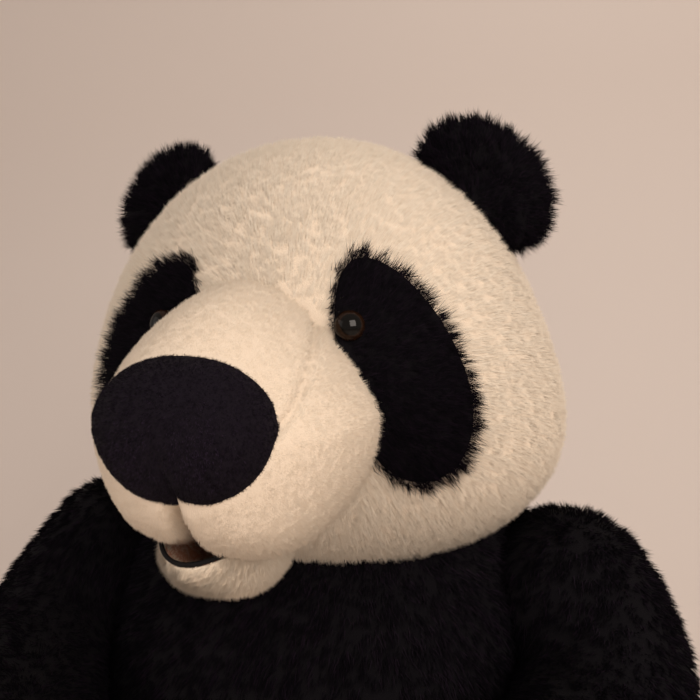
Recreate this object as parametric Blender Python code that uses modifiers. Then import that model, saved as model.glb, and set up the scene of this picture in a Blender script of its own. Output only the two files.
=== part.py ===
# A large sitting plush panda: sewn plush covers over fibre filling, safety eyes, a padded nose,
# a lined mouth, suede paw pads and soft seams that let the head, ears, limbs and tail move.
# Metres, +Z up, facing -Y, its own left side at +X, the origin on the floor under the seat.
import math

import bmesh
import bpy
from mathutils import Matrix, Quaternion, Vector

for oldObject in list(bpy.data.objects):
    bpy.data.objects.remove(oldObject, do_unlink=True)

# Cloth and clearances
PLUSH = 0.004          # plush with its knitted backing
PATCH_PLUSH = 0.0035   # the eye patches' plush
SUEDE = 0.002          # paw pads
LINING = 0.0012        # woven mouth lining
SEAM = 0.0003          # gap between pieces that touch
PANEL_GAP = 0.0018     # between two cover panels, where their turned edges meet
PAD_GAP = 0.0015       # under a suede pad
FILLING_GAP = 0.0035   # between a cover and its filling
SEAT_GAP = 0.004       # room under the head where it rolls in the collar
SWING_ROOM = 0.003     # room round a limb as it swings

# Torso
TORSO_WIDTH = 0.300
TORSO_DEPTH = 0.280
TORSO_LEAN = 0.030     # how far back the torso leans at the collar
COLLAR_HEIGHT = 0.352
MIDDLE_SHARE = 0.4403  # height of the widest place, as a share of the collar's height
DROP_SHARE = 1.129     # reach of the lower curve, a little past the floor, as a share of that
COLLAR_FULLNESS = 0.857  # how far up its curve the torso has come at the collar
YOKE_SHARE = 0.5824    # where black plush meets cream, as a share of the collar's height
LOWER_SQUARENESS = 2.8
UPPER_SQUARENESS = 3.2
BAG_HEIGHT = 0.045     # pellet bag that weights the seat
BAG_SHARE = 0.7        # of the base's width
COLLAR_LIP = 0.008     # how far the cover rises past the collar before it's cut for the head

# Head
HEAD_WIDTH = 0.284
HEAD_DEPTH = 0.276
HEAD_TALL = 0.296
JOWL_SWELL = 0.20      # how far the cheeks stand out, as a share
JOWL_HEIGHT = -0.28    # where, as a share of the half height
JOWL_SPREAD = 0.45
HEAD_SEAT = 0.108      # head centre above the collar
NECK_OPENING = math.radians(24)
NECK_RADIUS = 0.048
NECK_ROOM = 0.0012     # round the neck roll as it turns
NECK_LENGTH = 0.095    # how far the firm neck roll reaches into the torso

# Muzzle, from the head's centre
MUZZLE_WIDTH = 0.164
MUZZLE_LENGTH = 0.100
MUZZLE_TALL = 0.142
MUZZLE_PLACE = Vector((0, -0.115, -0.010))
MUZZLE_TAPER = 0.36
MUZZLE_BLUNTNESS = 0.74
MUZZLE_OPENING = math.radians(17)  # under the nose, from the muzzle's front pole
MUZZLE_WRAP = math.radians(100)    # from that opening back to the seam with the face
BRIDGE_HALF_ANGLE = math.radians(42)
NOSE_WIDTH = 0.092
NOSE_TALL = 0.073
NOSE_BULGE = 0.030
NOSE_PLACE = Vector((0, -0.199, -0.010))
NOSE_TILT = math.radians(17)
NOSE_WRAP = math.radians(112)
NOSE_SQUARENESS = 0.92
CHIN_WIDTH = 0.074
CHIN_LENGTH = 0.056
CHIN_TALL = 0.025
CHIN_PLACE = Vector((0, -0.134, -0.092))
CHIN_TILT = math.radians(-16)
PIPING_RADIUS = 0.0014
PIPING_POINTS = 19

# Eyes and patches, as directions from the head's centre
EYE_DIRECTION = Vector((0.057, -0.117, 0.034))
EYE_RADIUS = 0.0090
EYE_HEIGHT = 0.0062
SHANK_RADIUS = 0.0022
SHANK_LENGTH = 0.016
SHANK_ROOM = 0.0004
WASHER_RADIUS = 0.0085
WASHER_THICKNESS = 0.0016
PATCH_SIDEWAYS = math.radians(36)
PATCH_UP = math.radians(4)
PATCH_LEAN = math.radians(20)
PATCH_HALF_LENGTH = math.radians(30)
PATCH_HALF_WIDTH = math.radians(18.5)
PATCH_TAPER = 0.16     # narrower towards its top

# Ears
EAR_LEAN = math.radians(44)
EAR_HALF_ANGLE = math.radians(17.5)
EAR_HEIGHT = 0.060
EAR_BACK_DEPTH = 0.017
EAR_FRONT_DEPTH = 0.009
EAR_BASE_GAP = 0.003
EAR_WIDEST = 0.30
EAR_SET_BACK = 0.008
EAR_FILLING_SHARE = 0.94

# Limbs: where each spine starts, bends and ends, for the left side
SHOULDER_DROP = 0.052  # below the collar
SHOULDER_OUT = 0.027   # past the torso's side
SHOULDER_FORWARD = 0.005
ARM_ROOT_RADIUS = 0.058
ARM_TIP_RADIUS = 0.050
ARM_BEND = Vector((0.046, -0.040, -0.065))
ARM_REACH = Vector((-0.047, -0.185, -0.052))
LEG_ROOT_RADIUS = 0.0725
LEG_TIP_RADIUS = 0.066
HIP_OUT = 0.030
HIP_FORWARD = 0.035
LEG_BEND = Vector((0.020, -0.110, 0.0))
LEG_REACH = Vector((0.028, -0.225, -0.002))
FOOT_FLATNESS = 0.45   # depth of the foot's end, as a share of its radius
PAW_ROUNDNESS = 0.8
FLOOR_GAP = 0.001
TAIL_ROOT_RADIUS = 0.026
TAIL_TIP_RADIUS = 0.030
TAIL_LENGTH = 0.024
TAIL_HEIGHT = 0.075
PAW_PAD_TURN = math.radians(200)  # round the arm, from its upper side
PAW_PAD_ALONG = 0.80
PAW_PAD_HALF_TURN = math.radians(38)
PAW_PAD_HALF_LENGTH = 0.10
SOLE_SHARE = 0.62      # of the foot's end
LABEL_SIZE = Vector((0.0008, 0.016, 0.030))
LABEL_GAP = 0.0055     # from the cover, bridged by its stitching
LABEL_TURN = math.radians(52)  # round the torso from its left side towards the back
LABEL_HEIGHT = 0.045

# Swing about each root's X axis in degrees, and the steps that the room for it is cut in
ARM_SWING = (-30, 14)
LEG_SWING = (-20, 0)
SWING_STEPS = 3

torsoMiddleHeight = COLLAR_HEIGHT * MIDDLE_SHARE
yokeHeight = COLLAR_HEIGHT * YOKE_SHARE
headGap = PANEL_GAP * HEAD_WIDTH / HEAD_DEPTH
headRadii = Vector((HEAD_WIDTH, HEAD_DEPTH, HEAD_TALL)) / 2
headCentre = Vector((0, 0, COLLAR_HEIGHT + HEAD_SEAT))
muzzleRadii = Vector((MUZZLE_WIDTH / 2, MUZZLE_LENGTH, MUZZLE_TALL / 2))
muzzleCentre = headCentre + MUZZLE_PLACE
noseRadii = Vector((NOSE_WIDTH / 2, NOSE_BULGE, NOSE_TALL / 2))
noseCentre = headCentre + NOSE_PLACE
chinRadii = Vector((CHIN_WIDTH / 2, CHIN_LENGTH, CHIN_TALL))
chinCentre = headCentre + CHIN_PLACE
torsoRise = (COLLAR_HEIGHT - torsoMiddleHeight) / COLLAR_FULLNESS

# Facets of the soft forms
TORSO_HALF_SIDES = 10
HEAD_HALF_SIDES = 10
HEAD_ROWS = 9
NECK_SIDES = 28
LIMB_SIDES = 12
LIMB_ROWS = 9
LIMB_OPENING = 0.10    # where a limb's cover starts, along it from its ball's pole
ROOT_END = 0.25        # where the ball ends
TIP_START = 0.75       # where the rounded tip starts

partsCollection = bpy.data.collections.new("plush_panda")
cutterCollection = bpy.data.collections.new("cutters")
bpy.context.scene.collection.children.link(partsCollection)
bpy.context.scene.collection.children.link(cutterCollection)


# ---- making things ----

def material(name, colour, roughness):
    made = bpy.data.materials.new(name)
    made.use_nodes = True
    shader = made.node_tree.nodes["Principled BSDF"]
    shader.inputs["Base Color"].default_value = (*colour, 1)
    shader.inputs["Roughness"].default_value = roughness
    made.diffuse_color = (*colour, 1)
    return made


MATERIALS = {
    "black": material("black_plush", (0.012, 0.011, 0.016), 0.95),
    "cream": material("cream_plush", (0.74, 0.62, 0.50), 0.95),
    "velour": material("nose_velour", (0.016, 0.012, 0.022), 0.85),
    "suede": material("pad_suede", (0.19, 0.085, 0.045), 0.9),
    "rust": material("mouth_lining", (0.16, 0.055, 0.025), 0.9),
    "cord": material("lip_cord", (0.01, 0.009, 0.01), 0.6),
    "eye": material("eye_plastic", (0.02, 0.01, 0.006), 0.08),
    "washer": material("washer_plastic", (0.8, 0.8, 0.78), 0.4),
    "fibre": material("fibre_filling", (0.85, 0.85, 0.84), 1.0),
    "bag": material("bag_cloth", (0.75, 0.74, 0.7), 0.9),
    "label": material("label_satin", (0.8, 0.79, 0.77), 0.5),
}


def finish(obj, look, collection=partsCollection):
    for holder in list(obj.users_collection):
        holder.objects.unlink(obj)
    collection.objects.link(obj)
    obj.data.materials.clear()
    obj.data.materials.append(MATERIALS[look])
    return obj


def fromBmesh(name, bm, look):
    mesh = bpy.data.meshes.new(name)
    bm.to_mesh(mesh)
    bm.free()
    mesh.shade_smooth()
    obj = bpy.data.objects.new(name, mesh)
    bpy.context.scene.collection.objects.link(obj)
    return finish(obj, look)


def gridMesh(place, across, along, middle):
    """A grid bent to place(u, v), its matching edges joined, facing away from middle."""
    bm = bmesh.new()
    bmesh.ops.create_grid(bm, x_segments=across, y_segments=along, size=0.5)
    for vert in bm.verts:
        vert.co = place(vert.co.x + 0.5, vert.co.y + 0.5)
    bmesh.ops.remove_doubles(bm, verts=bm.verts, dist=1e-5)
    bm.normal_update()
    facing = sum(face.normal.dot(face.calc_center_median() - middle) for face in bm.faces)
    if facing < 0:
        bmesh.ops.reverse_faces(bm, faces=bm.faces)
    return bm


def shell(name, place, across, along, middle, thickness, look):
    """Cloth: an open surface thickened inwards."""
    obj = fromBmesh(name, gridMesh(place, across, along, middle), look)
    cloth = obj.modifiers.new("cloth", "SOLIDIFY")
    cloth.thickness = thickness
    cloth.offset = -1
    cloth.use_even_offset = True
    return obj


def solid(name, place, across, along, middle, look):
    """A closed form whose surface place(u, v) wraps round in u and meets at both ends of v."""
    return fromBmesh(name, gridMesh(place, across, along, middle), look)


def lens(name, place, around, rings, look):
    """A disc-like form: place(s, t, front) gives its two faces inside the unit circle."""
    bm = bmesh.new()
    bmesh.ops.create_uvsphere(bm, u_segments=around, v_segments=rings, radius=1)
    for vert in bm.verts:
        vert.co = place(vert.co.x, vert.co.y, vert.co.z)
    if bm.calc_volume(signed=True) < 0:
        bmesh.ops.reverse_faces(bm, faces=bm.faces)
    return fromBmesh(name, bm, look)


def turned(name, profile, steps, look):
    """A turned form: its profile at +X runs down the outer side, spun about Z."""
    mesh = bpy.data.meshes.new(name)
    mesh.from_pydata([(x, 0, z) for x, z in profile], [(i, i + 1) for i in range(len(profile) - 1)], [])
    obj = bpy.data.objects.new(name, mesh)
    bpy.context.scene.collection.objects.link(obj)
    spin = obj.modifiers.new("spin", "SCREW")
    spin.steps = steps
    spin.render_steps = steps
    spin.use_merge_vertices = True
    spin.merge_threshold = 0.00001
    spin.use_smooth_shade = True
    return finish(obj, look)


def asCutter(obj):
    for holder in list(obj.users_collection):
        holder.objects.unlink(obj)
    cutterCollection.objects.link(obj)
    obj.hide_render = True
    obj.display_type = "WIRE"
    return obj


def cut(obj, *cutters, solver="EXACT"):
    for cutter in cutters:
        boolean = obj.modifiers.new("cut_" + cutter.name, "BOOLEAN")
        boolean.operation = "DIFFERENCE"
        boolean.solver = solver
        boolean.object = cutter
    return obj


def mirrored(place, side):
    """The same form on either side: side is 1 for the left and -1 for the right."""
    def placed(*where):
        point = place(*where)
        return Vector((side * point.x, point.y, point.z))
    return placed


def sideName(side):
    return "left" if side > 0 else "right"


def powered(value, power):
    return math.copysign(abs(value) ** power, value)


# ---- surfaces ----

def jowl(share):
    """How much wider the head is at this share of its half height."""
    return 1 + JOWL_SWELL * math.exp(-((share - JOWL_HEIGHT) / JOWL_SPREAD) ** 2)


def headPoint(around, polar, offset=0.0):
    """Around 0 is +X and 270 degrees is the face; polar 0 is the crown."""
    radii = headRadii + Vector((offset, offset, offset))
    swell = jowl(math.cos(polar))
    return headCentre + Vector((
        radii.x * swell * math.sin(polar) * math.cos(around),
        radii.y * math.sin(polar) * math.sin(around),
        radii.z * math.cos(polar)))


def headPolar(v):
    """Rows for what lies in or on the head, level with the cover's own rows."""
    row = round(v * (HEAD_ROWS + 1))
    return math.pi if row > HEAD_ROWS else (math.pi - NECK_OPENING) * row / HEAD_ROWS


def onHead(direction, offset=0.0):
    """The point of the head's surface that lies in this direction from its centre."""
    unit = direction.normalized()
    reach = headRadii.z
    for _ in range(12):
        swell = jowl(unit.z * reach / headRadii.z)
        wide = Vector((headRadii.x * swell, headRadii.y, headRadii.z))
        reach = 1 / math.sqrt(sum((unit[i] / wide[i]) ** 2 for i in range(3)))
    return headCentre + unit * (reach + offset)


def headNormal(point):
    away = point - headCentre
    return Vector([away[i] / headRadii[i] ** 2 for i in range(3)]).normalized()


def muzzlePoint(around, polar, offset=0.0):
    """Around 90 degrees is the bridge; polar 0 is the front."""
    radii = muzzleRadii + Vector((offset, offset, offset))
    wide = math.sin(polar) ** MUZZLE_BLUNTNESS
    x = radii.x * wide * math.cos(around)
    z = radii.z * wide * math.sin(around)
    rise = max(0.0, z / radii.z)
    return muzzleCentre + Vector((x * (1 - MUZZLE_TAPER * rise), -radii.y * math.cos(polar), z))


def nosePoint(around, polar, offset=0.0):
    radii = noseRadii + Vector((offset, offset, offset))
    flat = Vector((
        radii.x * powered(math.sin(polar) * math.cos(around), NOSE_SQUARENESS),
        -radii.y * math.cos(polar),
        radii.z * powered(math.sin(polar) * math.sin(around), NOSE_SQUARENESS)))
    return noseCentre + Matrix.Rotation(NOSE_TILT, 3, "X") @ flat


def tilted(flat):
    """Tips a point of the chin so that the lip rises towards the front."""
    return chinCentre + Matrix.Rotation(CHIN_TILT, 3, "X") @ flat


def chinFlat(around, polar, offset=0.0):
    """Polar 0 is the underside and 90 degrees the lip, before the tilt."""
    radii = chinRadii + Vector((offset, offset, offset))
    return Vector((
        radii.x * math.sin(polar) * math.cos(around),
        radii.y * math.sin(polar) * math.sin(around),
        -radii.z * math.cos(polar)))


def torsoShare(height):
    """The torso's half width at this height, as a share of its widest."""
    if height < torsoMiddleHeight:
        reach, power = (torsoMiddleHeight - height) / (torsoMiddleHeight * DROP_SHARE), LOWER_SQUARENESS
    else:
        reach, power = (height - torsoMiddleHeight) / torsoRise, UPPER_SQUARENESS
    return (1 - min(reach, 0.995) ** power) ** (1 / power)


def torsoPoint(around, height, offset=0.0):
    share = torsoShare(height)
    return Vector((
        (TORSO_WIDTH / 2 * share + offset) * math.cos(around),
        (TORSO_DEPTH / 2 * share + offset) * math.sin(around) + TORSO_LEAN * (height / COLLAR_HEIGHT) ** 3,
        height))


class Limb:
    """A stuffed limb with a ball at its root, a bent spine and a rounded tip."""

    def __init__(self, root, bend, tip, rootRadius, tipRadius, tipFlatness=PAW_ROUNDNESS):
        self.root, self.bend, self.tip = root, bend, tip
        self.rootRadius, self.tipRadius = rootRadius, tipRadius
        self.tipFlatness = tipFlatness

    def spine(self, t):
        return self.root * (1 - t) ** 2 + self.bend * (2 * t * (1 - t)) + self.tip * t ** 2

    def tangent(self, t):
        return ((self.bend - self.root) * (1 - t) + (self.tip - self.bend) * t).normalized()

    def point(self, around, along, offset=0.0):
        """Along runs from the ball's pole at 0 to the tip's pole at 1."""
        t = min(1.0, max(0.0, (along - ROOT_END) / (TIP_START - ROOT_END)))
        ahead = self.tangent(t)
        across = ahead.cross(Vector((1, 0, 0))).normalized()
        over = ahead.cross(across)
        outward = across * math.cos(around) + over * math.sin(around)
        blend = t * t * (3 - 2 * t)
        radius = self.rootRadius * (1 - blend) + self.tipRadius * blend + offset
        if along < ROOT_END:
            turn = along / ROOT_END * math.pi / 2
            return self.root - ahead * radius * math.cos(turn) + outward * radius * math.sin(turn)
        if along > TIP_START:
            turn = (along - TIP_START) / (1 - TIP_START) * math.pi / 2
            beyond = (self.tipRadius * self.tipFlatness + offset) * math.sin(turn)
            return self.tip + ahead * beyond + outward * radius * math.cos(turn)
        return self.spine(t) + outward * radius


def limbClearance(name, limb, side, offset, angle):
    """The space that a limb takes at one angle of its swing about X."""
    place = mirrored(lambda u, v: limb.point(u * 2 * math.pi, v, offset), side)
    root = Vector((side * limb.root.x, limb.root.y, limb.root.z))
    obj = solid(name, place, 16, 14, root, "fibre")
    turn = Matrix.Rotation(math.radians(angle), 4, "X")
    obj.data.transform(Matrix.Translation(root) @ turn @ Matrix.Translation(-root))
    return asCutter(obj)


shoulderHeight = COLLAR_HEIGHT - SHOULDER_DROP
shoulder = Vector((TORSO_WIDTH / 2 + SHOULDER_OUT, -SHOULDER_FORWARD, shoulderHeight))
arm = Limb(shoulder, shoulder + ARM_BEND, shoulder + ARM_REACH, ARM_ROOT_RADIUS, ARM_TIP_RADIUS)
hip = Vector((TORSO_WIDTH / 2 + HIP_OUT, -HIP_FORWARD, LEG_ROOT_RADIUS + FLOOR_GAP))
leg = Limb(hip, hip + LEG_BEND, hip + LEG_REACH, LEG_ROOT_RADIUS, LEG_TIP_RADIUS, FOOT_FLATNESS)
tailRoot = torsoPoint(math.pi / 2, TAIL_HEIGHT, TAIL_ROOT_RADIUS + SWING_ROOM)
tail = Limb(tailRoot, tailRoot + Vector((0, TAIL_LENGTH / 2, -0.002)),
            tailRoot + Vector((0, TAIL_LENGTH, -0.006)), TAIL_ROOT_RADIUS, TAIL_TIP_RADIUS)

# ---- cutters ----

seatProfile = []
for seatStep in range(15):
    seatPoint = headPoint(0, math.pi * (0.35 + 0.65 * seatStep / 14), SEAT_GAP)
    seatProfile.append((max(0.0, seatPoint.x), seatPoint.z))
headSeat = asCutter(turned("head_seat", [(0, seatProfile[0][1])] + seatProfile, 28, "fibre"))
skullRoom = asCutter(solid(
    "skull_room", lambda u, v: headPoint(u * 2 * math.pi, headPolar(v), headGap / 2 + SEAM * 2),
    HEAD_HALF_SIDES * 2, HEAD_ROWS + 1, headCentre, "fibre"))
muzzleRoom = asCutter(solid(
    "muzzle_room", lambda u, v: muzzlePoint(u * 2 * math.pi, v * math.pi, SEAM * 5),
    28, 16, muzzleCentre, "fibre"))
noseRoom = asCutter(solid(
    "nose_room", lambda u, v: nosePoint(u * 2 * math.pi, v * math.pi, SEAM * 2),
    24, 14, noseCentre, "fibre"))

swingCutters = []
for side in (1, -1):
    for kind, limb, swing in (("arm", arm, ARM_SWING), ("leg", leg, LEG_SWING)):
        for step in range(SWING_STEPS):
            angle = swing[0] + (swing[1] - swing[0]) * step / (SWING_STEPS - 1)
            name = f"{kind}_room_{sideName(side)}_{step}"
            swingCutters.append(limbClearance(name, limb, side, SWING_ROOM, angle))
armCutters = [c for c in swingCutters if c.name.startswith("arm")]
legCutters = [c for c in swingCutters if c.name.startswith("leg")]


# ---- torso ----

def torsoPanel(name, front, low, high, look, *cutters):
    start = math.pi if front else 0.0
    gap = -PANEL_GAP / 2 if front else PANEL_GAP / 2

    def place(u, v):
        point = torsoPoint(start + u * math.pi, low + (high - low) * v)
        return Vector((point.x, point.y + gap, point.z))
    middle = Vector((0, 0, torsoMiddleHeight))
    return cut(shell(name, place, TORSO_HALF_SIDES, 5, middle, PLUSH, look), *cutters)


topOfTorso = COLLAR_HEIGHT + COLLAR_LIP
torsoPanel("chest_panel", True, yokeHeight + SEAM, topOfTorso, "black", headSeat, *armCutters)
torsoPanel("upper_back_panel", False, yokeHeight + SEAM, topOfTorso, "black", headSeat, *armCutters)
torsoPanel("belly_panel", True, PLUSH + SEAM, yokeHeight, "cream", *legCutters, *armCutters)
torsoPanel("lower_back_panel", False, PLUSH + SEAM, yokeHeight, "cream", *legCutters, *armCutters)


baseRing = bmesh.new()
bmesh.ops.create_cone(baseRing, cap_ends=True, segments=28, radius1=0.985, radius2=1, depth=PLUSH)
for ringVert in baseRing.verts:
    rimPoint = torsoPoint(math.atan2(ringVert.co.y, ringVert.co.x), PLUSH)
    share = math.hypot(ringVert.co.x, ringVert.co.y)
    ringVert.co = Vector((rimPoint.x * share, rimPoint.y * share, ringVert.co.z + PLUSH / 2))
cut(fromBmesh("base_panel", baseRing, "cream"), *legCutters)


def torsoCore(u, v):
    low = PLUSH + SEAM + BAG_HEIGHT
    inset = PLUSH + FILLING_GAP
    height = low + (topOfTorso - inset - low) * min(1.0, max(0.0, v * 1.3 - 0.15))
    edge = torsoPoint(u * 2 * math.pi, height, -inset)
    closing = min(1.0, v / 0.115, (1 - v) / 0.115)
    return Vector((edge.x * closing, edge.y * closing, height))


def torsoBag(u, v):
    low = PLUSH + SEAM
    top = low + BAG_HEIGHT - SEAM * 2
    polar = v * math.pi
    edge = torsoPoint(u * 2 * math.pi, PLUSH)
    flat = powered(math.cos(polar), 0.4)
    wide = math.sin(polar) ** 0.6 * BAG_SHARE
    return Vector((edge.x * wide, edge.y * wide, (low + top) / 2 - (top - low) / 2 * flat))


neckHole = turned("neck_hole", [
    (0, headCentre.z), (NECK_RADIUS + NECK_ROOM, headCentre.z),
    (NECK_RADIUS + NECK_ROOM, COLLAR_HEIGHT - NECK_LENGTH - SEAM * 2),
    (0, COLLAR_HEIGHT - NECK_LENGTH - SEAM * 2)], NECK_SIDES, "fibre")
asCutter(neckHole)
torsoMiddle = Vector((0, 0, torsoMiddleHeight))
cut(solid("torso_filling", torsoCore, TORSO_HALF_SIDES * 2, 11, torsoMiddle, "fibre"),
    headSeat, neckHole, *legCutters, *armCutters, solver="MANIFOLD")
solid("pellet_bag", torsoBag, 14, 6, Vector((0, 0, PLUSH + BAG_HEIGHT / 2)), "bag")

neckProfile = []
for neckStep in range(6):
    reach = NECK_RADIUS * neckStep / 5
    under = headRadii.z + SEAM * 5
    neckProfile.append((reach, headCentre.z - math.sqrt(under ** 2 - reach ** 2)))
neckFoot = COLLAR_HEIGHT - NECK_LENGTH
neckProfile += [(NECK_RADIUS, neckFoot), (0, neckFoot)]
turned("neck_filling", neckProfile, NECK_SIDES, "fibre")


# ---- head ----

def headPanel(name, front):
    start = math.pi if front else 0.0
    gap = -headGap / 2 if front else headGap / 2

    def place(u, v):
        point = headPoint(start + u * math.pi, v * (math.pi - NECK_OPENING))
        return Vector((point.x, point.y + gap, point.z))
    return shell(name, place, HEAD_HALF_SIDES, HEAD_ROWS, headCentre, PLUSH, "cream")


facePanel = headPanel("face_panel", True)
headPanel("rear_head_panel", False)
headFilling = solid(
    "head_filling", lambda u, v: headPoint(u * 2 * math.pi, headPolar(v), -PLUSH - FILLING_GAP),
    HEAD_HALF_SIDES * 2, HEAD_ROWS + 1, headCentre, "fibre")


def patchPoint(s, t, face):
    """The eye patch lies on the head's surface, wider at its lower end."""
    centre = Vector((math.sin(PATCH_SIDEWAYS) * math.cos(PATCH_UP),
                     -math.cos(PATCH_SIDEWAYS) * math.cos(PATCH_UP), math.sin(PATCH_UP)))
    sideways = Vector((0, 0, 1)).cross(centre).normalized()
    upward = centre.cross(sideways)
    long = upward * math.cos(PATCH_LEAN) - sideways * math.sin(PATCH_LEAN)
    wide = sideways * math.cos(PATCH_LEAN) + upward * math.sin(PATCH_LEAN)
    step = long * (t * PATCH_HALF_LENGTH) + wide * (s * PATCH_HALF_WIDTH * (1 - PATCH_TAPER * t))
    turn = step.length
    direction = centre
    if turn > 1e-6:
        direction = centre * math.cos(turn) + step.normalized() * math.sin(turn)
    crown = math.sqrt(max(0.0, 1 - (s * s + t * t) ** 3))
    height = headGap / 2 + SEAM * 3 + (PATCH_PLUSH * crown if face > 0 else 0.0)
    return onHead(direction, height)


def faceAway(point):
    """Turns an upright piece so that its Z points straight out of the head."""
    return headNormal(point).to_track_quat("Z", "Y").to_matrix().to_4x4()


eyeRooms = []
for side in (1, -1):
    word = sideName(side)
    direction = Vector((side * EYE_DIRECTION.x, EYE_DIRECTION.y, EYE_DIRECTION.z))
    seat = onHead(direction)
    out = headNormal(seat)
    domeBase = headGap / 2 + SEAM * 4 + PATCH_PLUSH
    stem = domeBase - SHANK_LENGTH
    domeProfile = [(EYE_RADIUS * math.sin(a), domeBase + 0.001 + EYE_HEIGHT * math.cos(a))
                   for a in [i * math.pi / 12 for i in range(7)]]
    domeProfile += [(EYE_RADIUS, domeBase), (SHANK_RADIUS, domeBase), (SHANK_RADIUS, stem), (0, stem)]
    eye = turned(f"eye_{word}", domeProfile, 16, "eye")
    eye.matrix_world = Matrix.Translation(seat) @ faceAway(seat)
    washerTop = -PLUSH - FILLING_GAP
    washerBottom = washerTop - WASHER_THICKNESS
    inner = SHANK_RADIUS + SHANK_ROOM
    washer = turned(f"eye_washer_{word}", [
        (inner, washerBottom), (inner, washerTop), (WASHER_RADIUS, washerTop),
        (WASHER_RADIUS, washerBottom), (inner, washerBottom)], 16, "washer")
    washer.matrix_world = eye.matrix_world
    shankHole = asCutter(turned(f"shank_hole_{word}", [
        (0, domeBase), (inner, domeBase), (inner, stem - 0.002), (0, stem - 0.002)], 16, "fibre"))
    pocket = asCutter(turned(f"washer_pocket_{word}", [
        (0, 0), (WASHER_RADIUS + SEAM, 0), (WASHER_RADIUS + SEAM, stem - 0.001), (0, stem - 0.001)],
        16, "fibre"))
    eyeRoom = asCutter(turned(f"eye_room_{word}", [
        (0, 0.02), (EYE_RADIUS + SEAM * 3, 0.02), (EYE_RADIUS + SEAM * 3, domeBase - SEAM),
        (0, domeBase - SEAM)], 16, "fibre"))
    for cutter in (shankHole, pocket, eyeRoom):
        cutter.matrix_world = eye.matrix_world
    eyeRooms.append(eyeRoom)
    cut(facePanel, shankHole)
    cut(headFilling, pocket)
    patch = lens(f"eye_patch_{word}", mirrored(patchPoint, side), 20, 8, "black")
    cut(patch, muzzleRoom, shankHole)


# ---- muzzle ----

def muzzlePanel(name, start, end, across):
    """A sewn muzzle panel between two seams."""
    gap = PANEL_GAP / 2 / muzzleRadii.z

    def place(u, v):
        return muzzlePoint(start + gap + (end - start - 2 * gap) * u, MUZZLE_OPENING + MUZZLE_WRAP * v)
    return cut(shell(name, place, across, 6, muzzleCentre, PLUSH, "cream"), skullRoom, noseRoom, *eyeRooms)


bridgeLeft = math.pi / 2 - BRIDGE_HALF_ANGLE
bridgeRight = math.pi / 2 + BRIDGE_HALF_ANGLE
muzzlePanel("muzzle_bridge", bridgeLeft, bridgeRight, 6)
muzzlePanel("muzzle_cheek_left", -math.pi / 2, bridgeLeft, 8)
muzzlePanel("muzzle_cheek_right", bridgeRight, math.pi * 3 / 2, 8)
cut(solid("muzzle_filling",
          lambda u, v: muzzlePoint(u * 2 * math.pi, v * math.pi, -PLUSH - FILLING_GAP),
          20, 9, muzzleCentre, "fibre"), skullRoom, noseRoom, *eyeRooms)

shell("nose_cover", lambda u, v: nosePoint(u * 2 * math.pi, v * NOSE_WRAP),
      20, 7, noseCentre, PLUSH / 2, "velour")
solid("nose_pad", lambda u, v: nosePoint(u * 2 * math.pi, v * math.pi, -PLUSH / 2 - FILLING_GAP / 2),
      20, 9, noseCentre, "fibre")


# ---- mouth and chin ----

def chinCore(u, v):
    point = chinFlat(u * 2 * math.pi, v * math.pi, -PLUSH - SEAM * 5)
    return tilted(Vector((point.x, point.y, min(point.z, -SEAM * 3))))


def liningPoint(s, t, face):
    reach = Vector((chinRadii.x - PIPING_RADIUS, chinRadii.y - PIPING_RADIUS))
    height = SEAM * 4 + (LINING if face > 0 else 0.0)
    rim = 0.35 if abs(face) < 1e-6 else 0.0
    return tilted(Vector((reach.x * 0.97 * s, reach.y * 0.97 * t, height + rim * LINING)))


cut(shell("chin_cover", lambda u, v: tilted(chinFlat(u * 2 * math.pi, v * math.pi / 2)),
          16, 5, chinCentre + Vector((0, 0, 0.01)), PLUSH, "cream"), skullRoom)
cut(solid("chin_filling", chinCore, 16, 10, chinCentre - Vector((0, 0, 0.01)), "fibre"), skullRoom)
cut(lens("mouth_lining", liningPoint, 18, 6, "rust"), skullRoom)

pipingCurve = bpy.data.curves.new("lip_piping", "CURVE")
pipingCurve.dimensions = "3D"
pipingCurve.bevel_depth = PIPING_RADIUS
pipingCurve.bevel_resolution = 1
pipingCurve.use_fill_caps = True
pipingLine = pipingCurve.splines.new("POLY")
pipingLine.points.add(PIPING_POINTS - 1)
for index in range(PIPING_POINTS):
    angle = math.pi * (1 + index / (PIPING_POINTS - 1))
    pipingLine.points[index].co = (*tilted(Vector((
        (chinRadii.x - 0.0005) * math.cos(angle),
        (chinRadii.y + 0.0005) * math.sin(angle),
        PIPING_RADIUS + SEAM))), 1)
piping = bpy.data.objects.new("lip_piping", pipingCurve)
bpy.context.scene.collection.objects.link(piping)
finish(piping, "cord")


# ---- ears ----

def earPoint(s, t, depth):
    """A point of the left ear: s along its base, t up it, depth behind its middle."""
    lean = EAR_LEAN + EAR_HALF_ANGLE * s
    rise = EAR_WIDEST + (1 - EAR_WIDEST) * t if t > 0 else EAR_WIDEST * (1 + t)
    out = Vector((math.sin(lean), 0, math.cos(lean)))
    base = onHead(out, EAR_BASE_GAP)
    return base + out * (EAR_HEIGHT * rise) + Vector((0, EAR_SET_BACK * rise + depth, 0))


def crowned(s, t):
    return math.sqrt(max(0.0, 1 - s * s - t * t))


def earBack(s, t, face):
    depth = EAR_BACK_DEPTH if face > 0 else EAR_BACK_DEPTH - PLUSH
    return earPoint(s, t, SEAM + depth * crowned(s, t))


def earFront(s, t, face):
    depth = EAR_FRONT_DEPTH if face > 0 else EAR_FRONT_DEPTH - PLUSH
    return earPoint(s, t, -SEAM - depth * crowned(s, t))


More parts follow.
